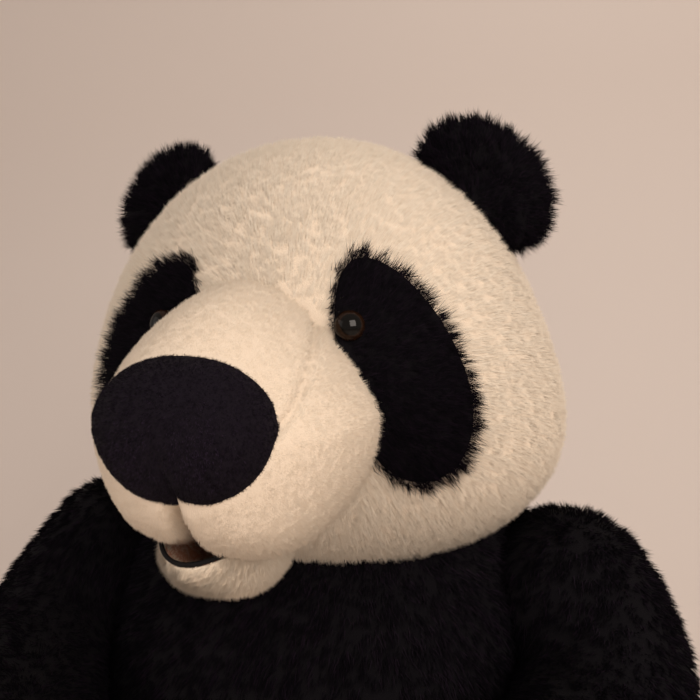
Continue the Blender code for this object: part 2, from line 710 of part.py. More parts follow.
def earFilling(s, t, face):
    reach = EAR_FILLING_SHARE
    if face > 0:
        depth = (EAR_BACK_DEPTH - PLUSH - SEAM * 2) * crowned(s, t)
    else:
        depth = -(EAR_FRONT_DEPTH - PLUSH - SEAM * 2) * crowned(s, t)
    return earPoint(s * reach, t * reach, depth)


for side in (1, -1):
    word = sideName(side)
    lens(f"ear_back_{word}", mirrored(earBack, side), 16, 8, "black")
    lens(f"ear_front_{word}", mirrored(earFront, side), 16, 8, "black")
    lens(f"ear_filling_{word}", mirrored(earFilling, side), 16, 6, "fibre")


# ---- limbs and tail ----

def limbPieces(limb, side, coverName, fillingName, look):
    """A cover open at its root, and a filling whose rows lie under the cover's rows."""
    root = Vector((side * limb.root.x, limb.root.y, limb.root.z))

    def coverAlong(v):
        return LIMB_OPENING + (1 - LIMB_OPENING) * v

    def fillingAlong(v):
        row = round(v * (LIMB_ROWS + 1))
        return coverAlong((row - 1) / LIMB_ROWS) if row else 0.0
    shell(coverName, mirrored(
        lambda u, v: limb.point(u * 2 * math.pi, coverAlong(v)), side),
        LIMB_SIDES, LIMB_ROWS, root, PLUSH, look)
    solid(fillingName, mirrored(
        lambda u, v: limb.point(u * 2 * math.pi, fillingAlong(v), -PLUSH - FILLING_GAP), side),
        LIMB_SIDES, LIMB_ROWS + 1, root, "fibre")


def padPoint(limb):
    def place(s, t, face):
        crown = math.sqrt(max(0.0, 1 - (s * s + t * t) ** 3))
        height = PAD_GAP + (SUEDE * crown if face > 0 else 0.0)
        around = PAW_PAD_TURN + PAW_PAD_HALF_TURN * s
        return limb.point(around, PAW_PAD_ALONG + PAW_PAD_HALF_LENGTH * t, height)
    return place


def solePoint(limb):
    """The sole covers the foot's flat tip."""
    def place(s, t, face):
        reach = min(1.0, math.hypot(s, t))
        crown = math.sqrt(max(0.0, 1 - reach ** 6))
        height = PAD_GAP + (SUEDE * crown if face > 0 else 0.0)
        return limb.point(math.atan2(t, s), 1 - (1 - TIP_START) * SOLE_SHARE * reach, height)
    return place


for side in (1, -1):
    word = sideName(side)
    limbPieces(arm, side, f"arm_cover_{word}", f"arm_filling_{word}", "black")
    lens(f"paw_pad_{word}", mirrored(
        padPoint(arm), side), 14, 6, "suede")
    limbPieces(leg, side, f"leg_cover_{word}", f"leg_filling_{word}", "black")
    lens(f"foot_pad_{word}", mirrored(solePoint(leg), side), 16, 6, "suede")
limbPieces(tail, 1, "tail_cover", "tail_filling", "cream")

# ---- blank sewn-in label at the back's lower left ----

labelBase = torsoPoint(LABEL_TURN, LABEL_HEIGHT, LABEL_SIZE.y / 2 + LABEL_GAP)
bpy.ops.mesh.primitive_cube_add(size=1)
label = bpy.context.object
label.name = "blank_label"
label.data.name = "blank_label"
label.data.transform(Matrix.Diagonal((*LABEL_SIZE, 1)))
outwards = torsoPoint(LABEL_TURN, LABEL_HEIGHT, 1.0) - torsoPoint(LABEL_TURN, LABEL_HEIGHT)
label.rotation_mode = "QUATERNION"
label.rotation_quaternion = Quaternion((0, 0, 1), math.atan2(outwards.y, outwards.x) - math.pi / 2)
label.location = labelBase
finish(label, "label")


# ---- what moves, hung from empties on its joint's axis ----

def hung(name, place, parentName, pieceNames):
    """An empty on a joint's axis that carries these pieces and keeps them where they are."""
    holder = bpy.data.objects.new(name, None)
    holder.empty_display_size = 0.03
    partsCollection.objects.link(holder)
    if parentName:
        holder.parent = bpy.data.objects[parentName]
        holder.location = place - jointPlaces[parentName]
    else:
        holder.location = place
    jointPlaces[name] = place
    for pieceName in pieceNames:
        piece = bpy.data.objects[pieceName]
        piece.parent = holder
        piece.matrix_parent_inverse = Matrix.Translation(place).inverted()


def bothSides(*names):
    return [f"{name}_{word}" for name in names for word in ("left", "right")]


jointPlaces = {}
hung("neck_joint", headCentre, None, ["neck_filling"])
hung("head_joint", headCentre, "neck_joint", bothSides("eye_patch", "eye", "eye_washer", "muzzle_cheek") + [
    "face_panel", "rear_head_panel", "head_filling", "muzzle_bridge", "muzzle_filling", "nose_cover",
    "nose_pad", "chin_cover", "chin_filling", "mouth_lining", "lip_piping"])
hung("tail_joint", tail.root, None, ["tail_cover", "tail_filling"])
earBase = onHead(Vector((math.sin(EAR_LEAN), 0, math.cos(EAR_LEAN))), EAR_BASE_GAP)
for side in (1, -1):
    word = sideName(side)
    flip = Vector((side, 1, 1))
    hung(f"ear_joint_{word}", earBase * flip, "head_joint",
         [f"ear_back_{word}", f"ear_front_{word}", f"ear_filling_{word}"])
    hung(f"shoulder_{word}", arm.root * flip, None,
         [f"arm_cover_{word}", f"arm_filling_{word}", f"paw_pad_{word}"])
    hung(f"hip_{word}", leg.root * flip, None,
         [f"leg_cover_{word}", f"leg_filling_{word}", f"foot_pad_{word}"])
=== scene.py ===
import math

import bpy
import numpy as np
from mathutils import Matrix, Vector


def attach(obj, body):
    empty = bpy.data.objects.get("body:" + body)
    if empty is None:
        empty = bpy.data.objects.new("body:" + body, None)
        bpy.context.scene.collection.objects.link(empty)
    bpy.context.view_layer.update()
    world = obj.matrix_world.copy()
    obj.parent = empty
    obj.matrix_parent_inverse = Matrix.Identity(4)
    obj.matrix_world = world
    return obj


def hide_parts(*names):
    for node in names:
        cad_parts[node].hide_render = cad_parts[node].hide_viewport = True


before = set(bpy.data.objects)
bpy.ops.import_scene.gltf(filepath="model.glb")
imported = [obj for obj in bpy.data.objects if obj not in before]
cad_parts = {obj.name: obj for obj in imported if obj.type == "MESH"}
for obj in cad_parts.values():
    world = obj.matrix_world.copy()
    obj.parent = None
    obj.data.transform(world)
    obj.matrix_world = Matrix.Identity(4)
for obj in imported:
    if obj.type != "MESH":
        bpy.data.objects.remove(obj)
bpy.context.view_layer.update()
dice = np.random.default_rng(11)
print("frame loaded")

# camera, a little above the panda and to its left
cameraView = {"side": 15.2, "above": 7.7, "roll": -0.94, "away": 0.529, "right": 0.0189,
              "up": -0.0101, "aim": (0, 0, 0.475), "lens": 38.571, "sensor": 36}


def placeCamera(view):
    side, above, roll = (math.radians(view[key]) for key in ("side", "above", "roll"))
    back = Vector((math.sin(side) * math.cos(above), -math.cos(side) * math.cos(above),
                   math.sin(above)))
    level = Vector((math.cos(side), math.sin(side), 0))
    upright = back.cross(level)
    right = level * math.cos(roll) + upright * math.sin(roll)
    up = upright * math.cos(roll) - level * math.sin(roll)
    eye = back * view["away"] + level * view["right"] + upright * view["up"] + Vector(view["aim"])
    lens = bpy.data.cameras.new("camera")
    lens.lens = view["lens"]
    lens.sensor_width = view["sensor"]
    lens.clip_start = 0.01
    lens.dof.use_dof = False
    holder = bpy.data.objects.new("camera", lens)
    bpy.context.scene.collection.objects.link(holder)
    turn = Matrix((right, up, back)).transposed().to_4x4()
    holder.matrix_world = Matrix.Translation(eye) @ turn
    bpy.context.scene.camera = holder


placeCamera(cameraView)


class Wire:
    # a node's output that can be used in sums

    def __init__(self, look, socket):
        self.look = look
        self.socket = socket

    def sum(self, operation, first, second):
        return self.look.node("ShaderNodeMath", {"operation": operation}, {0: first, 1: second})

    def __add__(self, other):
        return self.sum("ADD", self, other)

    def __radd__(self, other):
        return self.sum("ADD", other, self)

    def __sub__(self, other):
        return self.sum("SUBTRACT", self, other)

    def __rsub__(self, other):
        return self.sum("SUBTRACT", other, self)

    def __mul__(self, other):
        return self.sum("MULTIPLY", self, other)

    def __rmul__(self, other):
        return self.sum("MULTIPLY", other, self)

    def __pow__(self, other):
        return self.sum("POWER", self, other)


class Look:
    # a material and the nodes that feed it

    def __init__(self, name, colour, roughness, finish=None):
        self.made = bpy.data.materials.new(name)
        self.made.use_nodes = True
        self.tree = self.made.node_tree
        self.shader = self.tree.nodes["Principled BSDF"]
        self.set("Base Color", (*colour, 1))
        self.set("Roughness", roughness)
        for word, value in (finish or {}).items():
            self.set(word, value)
        self.made.diffuse_color = (*colour, 1)

    def set(self, name, value):
        self.shader.inputs[name].default_value = value

    def node(self, kind, settings=None, links=None, output=0):
        made = self.tree.nodes.new(kind)
        for word, value in (settings or {}).items():
            if word == "stops":
                for index, (at, shade) in enumerate(value):
                    ramp = made.color_ramp.elements
                    stop = ramp[index] if index < 2 else ramp.new(at)
                    stop.position = at
                    stop.color = (*shade, 1)
            else:
                setattr(made, word, value)
        for word, value in (links or {}).items():
            if isinstance(value, Wire):
                self.tree.links.new(value.socket, made.inputs[word])
            else:
                made.inputs[word].default_value = value
        return Wire(self, made.outputs[output])

    def feed(self, name, wire):
        self.tree.links.new(wire.socket, self.shader.inputs[name])

    def place(self):
        return self.node("ShaderNodeTexCoord", output="Object")

    def noise(self, scale, detail=3.0, rough=0.55, at=None):
        return self.node("ShaderNodeTexNoise", None,
                         {"Vector": at or self.place(), "Scale": scale, "Detail": detail,
                          "Roughness": rough})

    def blend(self, share, first, second):
        return self.node("ShaderNodeMix", {"data_type": "RGBA"},
                         {0: share, 6: (*first, 1) if not isinstance(first, Wire) else first,
                          7: (*second, 1) if not isinstance(second, Wire) else second}, output=2)

    def bump(self, height, strength, distance):
        self.feed("Normal", self.node("ShaderNodeBump", None,
                                      {"Height": height, "Strength": strength, "Distance": distance}))


def clothLook(name, dark, light, roughness, patchScale, pileScale, depth, finish=None):
    # knitted backing with a short pile: soft patches of shade over a fine grain
    look = Look(name, dark, roughness, finish)
    patches = look.noise(patchScale, 4)
    grain = look.noise(pileScale, 2, 0.7)
    look.feed("Base Color", look.blend(patches * 0.6 + grain * 0.4, dark, light))
    look.feed("Roughness", roughness - 0.08 + grain * 0.12)
    look.bump(grain * 0.7 + patches * 0.3, 0.6, depth)
    return look


creamSkin = clothLook("creamPlush", (0.72, 0.60, 0.47), (0.82, 0.71, 0.58), 0.92, 60, 1400, 0.0008)
dullSheen = {"Specular IOR Level": 0.15}
blackSkin = clothLook("blackPlush", (0.0010, 0.0007, 0.0014), (0.0030, 0.0022, 0.0042), 0.95, 60, 1400,
                      0.0012, dullSheen)
velourSkin = clothLook("noseVelour", (0.0028, 0.0017, 0.0040), (0.0075, 0.0048, 0.0105), 0.9, 160, 2600,
                       0.0006, dullSheen)
suedeSkin = clothLook("padSuede", (0.15, 0.062, 0.034), (0.26, 0.13, 0.08), 0.88, 70, 2200, 0.0005)
fibreFilling = clothLook("fibreFilling", (0.70, 0.69, 0.67), (0.88, 0.88, 0.86), 0.95, 40, 500, 0.002)
bagCloth = clothLook("bagCloth", (0.62, 0.60, 0.55), (0.78, 0.77, 0.72), 0.9, 50, 900, 0.0008)
washerPlastic = clothLook("washerPlastic", (0.74, 0.74, 0.71), (0.82, 0.82, 0.80), 0.42, 90, 600, 0.0001)


def weaveLook(name, dark, light, ribs, depth, roughness, turn=(0, 0, 0)):
    # fine ribs crossed by a closer thread
    look = Look(name, dark, roughness)
    at = look.node("ShaderNodeMapping", None, {"Vector": look.place(), "Rotation": turn})
    warp = look.node("ShaderNodeTexWave", {"wave_type": "BANDS", "bands_direction": "Y"},
                     {"Vector": at, "Scale": ribs, "Distortion": 0.6, "Detail": 1.0, "Detail Scale": 3.0})
    weft = look.node("ShaderNodeTexWave", {"wave_type": "BANDS", "bands_direction": "X"},
                     {"Vector": at, "Scale": ribs * 2.2, "Distortion": 0.4})
    cloth = warp * (0.55 + weft * 0.45)
    look.feed("Base Color", look.blend(cloth * 0.8 + look.noise(220) * 0.2, dark, light))
    look.feed("Roughness", roughness - cloth * 0.1)
    look.bump(cloth, 0.7, depth)
    return look


liningCloth = weaveLook("mouthLining", (0.36, 0.125, 0.065), (0.72, 0.30, 0.18), 210, 0.0004, 0.88)
labelSatin = weaveLook("labelSatin", (0.70, 0.69, 0.66), (0.84, 0.83, 0.81), 500, 0.0001, 0.45)


def cordLook():
    look = Look("lipCord", (0.004, 0.003, 0.004), 0.75, dullSheen)
    fuzz = look.noise(1800, 2)
    look.feed("Base Color", look.blend(fuzz, (0.002, 0.0017, 0.002), (0.007, 0.006, 0.007)))
    look.bump(fuzz, 0.5, 0.0003)
    return look


lipCord = cordLook()


def eyeLook(pupil, iris):
    # moulded dome: a black pupil in a dark brown ring, under a clear gloss
    look = Look("eyePlastic", (0.02, 0.009, 0.004), 0.08, {"Specular IOR Level": 0.2})
    at = look.place()
    parts = look.node("ShaderNodeSeparateXYZ", None, {0: at})
    across = look.node("ShaderNodeSeparateXYZ", None, {0: at}, output=1)
    out = (parts * parts + across * across) ** 0.5
    ring = look.node("ShaderNodeMapRange", {"interpolation_type": "SMOOTHSTEP"},
                     {"Value": out, "From Min": pupil, "From Max": pupil + 0.0008})
    rim = look.node("ShaderNodeMapRange", {"interpolation_type": "SMOOTHSTEP"},
                    {"Value": out, "From Min": iris, "From Max": iris + 0.0012})
    streaks = look.noise(900, 2)
    brown = look.blend(streaks, (0.008, 0.0035, 0.0018), (0.022, 0.009, 0.004))
    shade = look.blend(ring, (0.002, 0.0015, 0.001), brown)
    look.feed("Base Color", look.blend(rim, shade, (0.006, 0.003, 0.002)))
    return look


eyePlastic = eyeLook(0.0052, 0.0074)


def strandLooks(name, tones, roughness, gloss=0.5):
    # one plain look for each tone of a pile
    return [Look(f"{name}{index + 1}", tone, roughness, {"Specular IOR Level": gloss}).made
            for index, tone in enumerate(tones)]


creamPile = strandLooks("creamPile", [(0.84, 0.73, 0.59), (0.86, 0.76, 0.63), (0.82, 0.70, 0.56),
                                      (0.88, 0.79, 0.66)], 0.85, 0.3)
muzzlePile = strandLooks("muzzlePile", [(0.84, 0.72, 0.58), (0.87, 0.76, 0.62), (0.80, 0.67, 0.52)],
                         0.88, 0.3)
# painted sheen: the third tone is much lighter, about one strand in five scattered at random, standing in
# for the glints on the fibre tips
blackPile = strandLooks("blackPile", [(0.0014, 0.0009, 0.0022), (0.0022, 0.0014, 0.0034),
                                      (0.0085, 0.0050, 0.0100), (0.0010, 0.0007, 0.0016),
                                      (0.0016, 0.0010, 0.0026)], 0.75, 0.06)
velourPile = strandLooks("velourPile", [(0.0045, 0.0026, 0.0062), (0.0130, 0.0080, 0.0180),
                                        (0.0028, 0.0017, 0.0040), (0.0022, 0.0013, 0.0032)], 0.85, 0.12)
# painted highlight: lighter tones for the nose's nap, laid in two sheen bands
velourSheen = strandLooks("velourSheen", [(0.026, 0.017, 0.034), (0.016, 0.010, 0.022)], 0.8, 0.12)
suedePile = strandLooks("suedePile", [(0.20, 0.09, 0.052), (0.27, 0.13, 0.08), (0.15, 0.065, 0.036)], 0.85)
print("materials ready")


def unit(vectors):
    return vectors / np.maximum(np.linalg.norm(vectors, axis=-1, keepdims=True), 1e-12)


def stack(x, y, z):
    return np.stack(np.broadcast_arrays(x, y, z), axis=-1).astype(float)


def powered(value, power):
    return np.sign(value) * np.abs(value) ** power


def turnX(points, angle):
    c, s = math.cos(angle), math.sin(angle)
    x, y, z = points[..., 0], points[..., 1], points[..., 2]
    return stack(x, y * c - z * s, y * s + z * c)


head = {"centre": np.array((0, 0, 0.46)), "radii": np.array((0.1433, 0.138, 0.148)),
        "jowl": (0.322, -0.805, 0.75), "narrowing": 0.057}


def jowl(share):
    swell, height, spread = head["jowl"]
    return 1 + swell * np.exp(-((share - height) / spread) ** 2)


def narrowed(share):
    # the head draws in towards the neck
    return np.clip(1 - np.minimum(share, 0) ** 2, 0.1, 1) ** head["narrowing"]


def headAt(around, polar, out=0.0):
    radii = head["radii"] + out
    share = np.cos(polar)
    wide = np.sin(polar) * narrowed(share)
    return head["centre"] + stack(
        radii[0] * jowl(share) * wide * np.cos(around),
        radii[1] * wide * np.sin(around),
        radii[2] * share)


def onHead(direction, out=0.0):
    ray = unit(direction)
    x, y, z = ray[..., 0], ray[..., 1], ray[..., 2]
    tall = head["radii"][2]
    reach = np.full(ray.shape[:-1], tall)
    for _ in range(12):
        share = np.clip(z * reach / tall, -1, 1)
        wide = jowl(share) * narrowed(share) * head["radii"][0]
        deep = narrowed(share) * head["radii"][1]
        reach = ((x / wide) ** 2 + (y / deep) ** 2 + (z / tall) ** 2) ** -0.5
    return head["centre"] + ray * (reach + out)[..., None]


def headSurface(u, v):
    return headAt(u * 2 * math.pi, v * math.pi, -0.001)


def near(value, middle, spread):
    return np.exp(-((value - middle) / spread) ** 2)


# angles in degrees: turn is measured round the muzzle from straight down, front from its tip
muzzle = {"place": np.array((-0.0045, -0.115, 0.45)), "radii": np.array((0.0755, 0.0995, 0.070)),
          "taper": 0.34, "blunt": 0.74,
          "seam": (84, 66, 44), "seamFront": (28, 50, 85), "seamDeep": 0.0030, "seamWide": 3.0,
          "lobeDrop": 0.0085, "lobeApart": 37, "lobeWide": 29, "lobeFront": 60, "lobeLong": 34,
          "cleftTurn": 8, "cleftWide": 6, "cleftFront": 48, "cleftLong": 40,
          "cleftUp": 0.011, "cleftIn": 0.009}


def fromSeam(around, polar):
    # degrees from the curved seam that runs from the nose's side up to the eye
    seam = np.interp(np.degrees(polar), muzzle["seamFront"], muzzle["seam"])
    turned = np.degrees(around) % 360
    return np.abs(np.abs((turned - 90 + 180) % 360 - 180) - seam)


def muzzleAt(around, polar, out=0.0):
    radii = muzzle["radii"] + out
    wide = np.abs(np.sin(polar)) ** muzzle["blunt"]
    x = radii[0] * wide * np.cos(around)
    z = radii[2] * wide * np.sin(around)
    rise = np.maximum(0, z / radii[2])
    point = stack(x * (1 - muzzle["taper"] * rise), -radii[1] * np.cos(polar), z)
    # two lobes of the upper lip, parted under the nose
    turn = np.degrees(np.arctan2(-np.cos(around), -np.sin(around))) - muzzle["cleftTurn"]
    front = np.degrees(polar)
    lobes = sum(near(turn, side * muzzle["lobeApart"], muzzle["lobeWide"]) for side in (1, -1))
    drop = muzzle["lobeDrop"] * lobes * near(front, muzzle["lobeFront"], muzzle["lobeLong"])
    cleft = near(turn, 0, muzzle["cleftWide"]) * near(front, muzzle["cleftFront"], muzzle["cleftLong"])
    point[..., 2] += -drop + muzzle["cleftUp"] * cleft
    point[..., 1] += -drop * 0.25 + muzzle["cleftIn"] * cleft
    groove = near(fromSeam(around, polar), 0, muzzle["seamWide"]) * muzzle["seamDeep"]
    return muzzle["place"] + point - unit(point) * groove[..., None]


def muzzleSurface(u, v):
    return muzzleAt(u * 2 * math.pi, v * math.pi, -0.0008)


nose = {"place": np.array((-0.0041, -0.199, 0.4541)), "radii": np.array((0.0425, 0.030, 0.0364)),
        "tilt": math.radians(17), "round": 0.92, "seam": 0.0022, "quilt": 0.003}


def noseAt(around, polar, out=0.0):
    radii = nose["radii"] + out
    flat = stack(radii[0] * powered(np.sin(polar) * np.cos(around), nose["round"]),
                 -radii[1] * np.cos(polar),
                 radii[2] * powered(np.sin(polar) * np.sin(around), nose["round"]))
    across, up = flat[..., 0] / radii[0], flat[..., 2] / radii[2]
    middleSeam = near(across, 0, 0.045) * np.clip(0.35 - up, 0, 1)
    sideFold = 0.6 * near(across + up * 0.2, 0.42, 0.03) * near(up, -0.35, 0.3)
    quilt = near(across, 0, 0.25) * np.clip(0.3 - up, 0, 1)
    flat[..., 1] += nose["seam"] * (middleSeam + sideFold) + nose["quilt"] * quilt
    flat[..., 0] *= 1 + 0.05 * near(up, 0.3, 0.5) - 0.07 * np.clip(-up, 0, 1) ** 2
    return nose["place"] + turnX(flat, nose["tilt"])


def noseSurface(u, v):
    return noseAt(u * 2 * math.pi, v * math.pi, -0.0004)


# the lip's rim rises by "corners" towards the ends of the mouth
chin = {"place": np.array((-0.0165, -0.134, 0.3610)), "radii": np.array((0.0320, 0.056, 0.0150)),
        "tilt": math.radians(-22), "corners": 0.021, "dish": 0.004}


def chinAt(around, polar, out=0.0):
    radii = chin["radii"] + out
    top = np.clip((polar - math.pi / 2) / (math.pi / 2), 0, 1)
    under = np.minimum(polar, math.pi / 2)
    flat = stack(radii[0] * np.sin(under) * np.cos(around) * (1 - top),
                 radii[1] * np.sin(under) * np.sin(around) * (1 - top),
                 -radii[2] * np.cos(under) - chin["dish"] * np.minimum(1, top * 4))
    flat[..., 2] += chin["corners"] * (flat[..., 0] / radii[0]) ** 2 * np.sin(under) ** 2
    return chin["place"] + turnX(flat, chin["tilt"])


def chinSurface(u, v):
    return chinAt(u * 2 * math.pi, v * math.pi, -0.0006)


# "lower" and "upper" say how square the torso is below and above its middle
torso = {"width": 0.150, "depth": 0.140, "lean": 0.030, "middle": 0.155, "drop": 0.175,
         "collar": 0.352, "rise": 0.197 / 0.857, "lower": 2.8, "upper": 3.2, "yoke": 0.205,
         "corners": 0.13, "cornersAt": 0.25, "shoulders": 0.19, "shouldersAt": 0.340}


def torsoAt(around, height, out=0.0, inwards=1.0):
    below = torso["middle"] - height
    low = below > 0
    reach = np.where(low, below / torso["drop"], -below / torso["rise"])
    power = np.where(low, torso["lower"], torso["upper"])
    share = (1 - np.clip(reach, 0, 0.995) ** power) ** (1 / power) * inwards
    # full under the arms, so that the shoulders run into the chest
    ahead = np.sin(around) < 0
    full = 1 + torso["corners"] * np.sin(2 * around) ** 2 * near(height, torso["cornersAt"], 0.07) * ahead
    sides = torso["shoulders"] * np.cos(around) ** 4 * near(height, torso["shouldersAt"], 0.050)
    share = share * (full + sides)
    leanBack = torso["lean"] * (height / torso["collar"]) ** 3
    return stack((torso["width"] * share + out) * np.cos(around),
                 (torso["depth"] * share + out) * np.sin(around) + leanBack,
                 height)


# how a skin of the torso rises and draws in along v
yoke = {"along": (0, 0.04, 0.8, 0.86, 0.93, 1), "height": (0.206, 0.205, 0.345, 0.356, 0.362, 0.358),
        "inwards": (0.05, 1, 1, 0.99, 0.86, 0.3)}
belly = {"along": (0, 0.05, 0.96, 1), "height": (0.0005, 0.003, 0.205, 0.204),
         "inwards": (0.05, 1, 1, 0.05)}


def torsoSkin(skin):
    def place(u, v):
        height = np.interp(v, skin["along"], skin["height"])
        inwards = np.interp(v, skin["along"], skin["inwards"])
        return torsoAt(u * 2 * math.pi, height, -0.001, inwards)
    return place


class Limb:
    # a stuffed limb: a ball at its root, a bent spine and a rounded tip

    def __init__(self, root, bend, tip, rootRadius, tipRadius, flatness):
        self.root = np.array(root)
        self.bend = self.root + bend
        self.tip = self.root + tip
        self.rootRadius, self.tipRadius, self.flatness = rootRadius, tipRadius, flatness

    def point(self, around, along, out=0.0):
        t = np.clip((along - 0.25) / 0.5, 0, 1)[..., None]
        ahead = unit((self.bend - self.root) * (1 - t) + (self.tip - self.bend) * t)
        across = unit(np.cross(ahead, (1.0, 0, 0)))
        over = np.cross(ahead, across)
        outward = across * np.cos(around)[..., None] + over * np.sin(around)[..., None]
        ease = t * t * (3 - 2 * t)
        radius = self.rootRadius * (1 - ease) + self.tipRadius * ease + out
        spine = self.root * (1 - t) ** 2 + self.bend * (2 * t * (1 - t)) + self.tip * t ** 2
        start = np.clip(along / 0.25, 0, 1)[..., None] * math.pi / 2
        end = np.clip((along - 0.75) / 0.25, 0, 1)[..., None] * math.pi / 2
        ball = self.root - ahead * radius * np.cos(start) + outward * radius * np.sin(start)
        cap = self.tip + ahead * (self.tipRadius * self.flatness + out) * np.sin(end)
        cap = cap + outward * radius * np.cos(end)
        along = along[..., None]
        return np.where(along < 0.25, ball, np.where(along > 0.75, cap, spine + outward * radius))


arm = Limb((0.168, -0.005, 0.305), (0.058, -0.042, -0.075), (-0.038, -0.185, -0.057), 0.056, 0.050, 0.8)
leg = Limb((0.180, -0.035, 0.0735), (0.020, -0.110, 0), (0.028, -0.225, -0.002), 0.0725, 0.066, 0.45)
tail = Limb((0, 0.1635, 0.075), (0, 0.012, -0.002), (0, 0.024, -0.006), 0.026, 0.030, 0.8)


def limbSurface(limb, side, out=-0.001):
    def place(u, v):
        return limb.point(u * 2 * math.pi, v, out) * (side, 1, 1)
    return place


# by side, 1 for the left and -1 for the right: the ears aren't quite alike
ear = {"lean": {1: math.radians(44), -1: math.radians(46.4)},
       "half": {1: math.radians(17.4), -1: math.radians(15.2)},
       "height": {1: 0.0605, -1: 0.0500}, "gap": {1: -0.012, -1: -0.004},
       "back": 0.019, "front": 0.010, "widest": 0.40, "setBack": 0.008}


def earSurface(side, behind):
    def place(u, v):
        s, t = v * np.cos(u * 2 * math.pi), v * np.sin(u * 2 * math.pi)
        lean = ear["lean"][side] + ear["half"][side] * s
        widest = ear["widest"]
        rise = np.where(t > 0, widest + (1 - widest) * t, widest * (1 + t))
        out = stack(np.sin(lean), 0 * lean, np.cos(lean))
        crown = np.sqrt(np.maximum(0, 1 - v * v))
        depth = ear["back"] * crown if behind else -ear["front"] * crown * (1 - 0.5 * near(v, 0, 0.5))
        base = onHead(out, ear["gap"][side]) + out * (ear["height"][side] * rise)[..., None]
        return (base + stack(0, ear["setBack"] * rise + depth, 0)) * (side, 1, 1)
    return place


# the two patches sit a little unevenly, as sewn by hand
patch = {"sideways": {1: 34.0, -1: 29.0}, "up": {1: 5.0, -1: 4.6}, "lean": math.radians(17),
         "long": math.radians(27.3), "wide": {1: math.radians(14.0), -1: math.radians(16.2)},
         "taper": 0.16}


def patchAxes(side):
    turn, climb = math.radians(patch["sideways"][side]), math.radians(patch["up"][side])
    ahead = np.array((math.sin(turn) * math.cos(climb), -math.cos(turn) * math.cos(climb),
                      math.sin(climb)))
    sideways = unit(np.cross((0, 0, 1), ahead))
    upward = np.cross(ahead, sideways)
    long = upward * math.cos(patch["lean"]) - sideways * math.sin(patch["lean"])
    wide = sideways * math.cos(patch["lean"]) + upward * math.sin(patch["lean"])
    return ahead, long, wide


def patchSurface(side, trim=1.0):
    ahead, long, wide = patchAxes(side)

    def place(u, v):
        s, t = trim * v * np.cos(u * 2 * math.pi), trim * v * np.sin(u * 2 * math.pi)
        step = (long * (t * patch["long"])[..., None]
                + wide * (s * patch["wide"][side] * (1 - patch["taper"] * t))[..., None])
        turn = np.linalg.norm(step, axis=-1, keepdims=True)
        ray = ahead * np.cos(turn) + step / np.maximum(turn, 1e-9) * np.sin(turn)
        return onHead(ray, 0.0022) * (side, 1, 1)
    return place


def folded(front, back):
    # one closed form from two faces that meet at their rims
    def place(u, v):
        first = (v < 0.5)[:, None]
        return np.where(first, front(u, np.clip(v * 2, 0, 1)), back(u, np.clip(2 - v * 2, 0, 1)))
    return place


def earWhole(side):
    return folded(earSurface(side, True), earSurface(side, False))


def patchWhole(side):
    face = patchSurface(side, 0.94)

    def under(u, v):
        point = face(u, v)
        return point - unit(point - head["centre"]) * 0.004 * (1 - v[..., None] ** 6)
    return folded(face, under)


def inPatch(points, margin):
    # whether a point of the head lies in either eye patch
    inside = np.zeros(len(points), bool)
    for side in (1, -1):
        ahead, long, wide = patchAxes(side)
        ray = unit(points - head["centre"]) * (side, 1, 1)
        turn = np.arccos(np.clip(ray @ ahead, -1, 1))
        flat = unit(ray - (ray @ ahead)[..., None] * ahead) * turn[..., None]
        t = (flat @ long) / patch["long"]
        s = (flat @ wide) / (patch["wide"][side] * (1 - patch["taper"] * np.clip(t, -1, 1)))
        inside |= np.hypot(s, t) < 1 + margin
    return inside


def inMuzzle(points, margin):
    local = (points - muzzle["place"]) / (muzzle["radii"] + margin)
    return (local ** 2).sum(-1) < 1


def frameOf(surface, u, v):
    step = 1e-3
    vLow, vHigh = np.clip(v - step, 0.0005, 0.9995), np.clip(v + step, 0.0005, 0.9995)
    alongU = surface(u + step, v) - surface(u - step, v)
    alongV = surface(u, vHigh) - surface(u, vLow)
    return surface(u, v), unit(np.cross(alongU, alongV))


def meshPiece(name, points, faces, looks, which=None, normals=None):
    mesh = bpy.data.meshes.new(name)
    mesh.vertices.add(len(points))
    mesh.vertices.foreach_set("co", np.ascontiguousarray(points, np.float32).ravel())
    corners = faces.shape[1]
    mesh.loops.add(faces.size)
    mesh.loops.foreach_set("vertex_index", np.ascontiguousarray(faces, np.int32).ravel())
    mesh.polygons.add(len(faces))
    mesh.polygons.foreach_set("loop_start", np.arange(0, faces.size, corners, dtype=np.int32))
    for look in looks:
        mesh.materials.append(look)
    if which is not None:
        mesh.polygons.foreach_set("material_index", np.ascontiguousarray(which, np.int32))
    mesh.update(calc_edges=True)
    mesh.shade_smooth()
    if normals is not None:
        mesh.normals_split_custom_set_from_vertices(normals)
    piece = bpy.data.objects.new(name, mesh)
    bpy.context.scene.collection.objects.link(piece)
    return piece


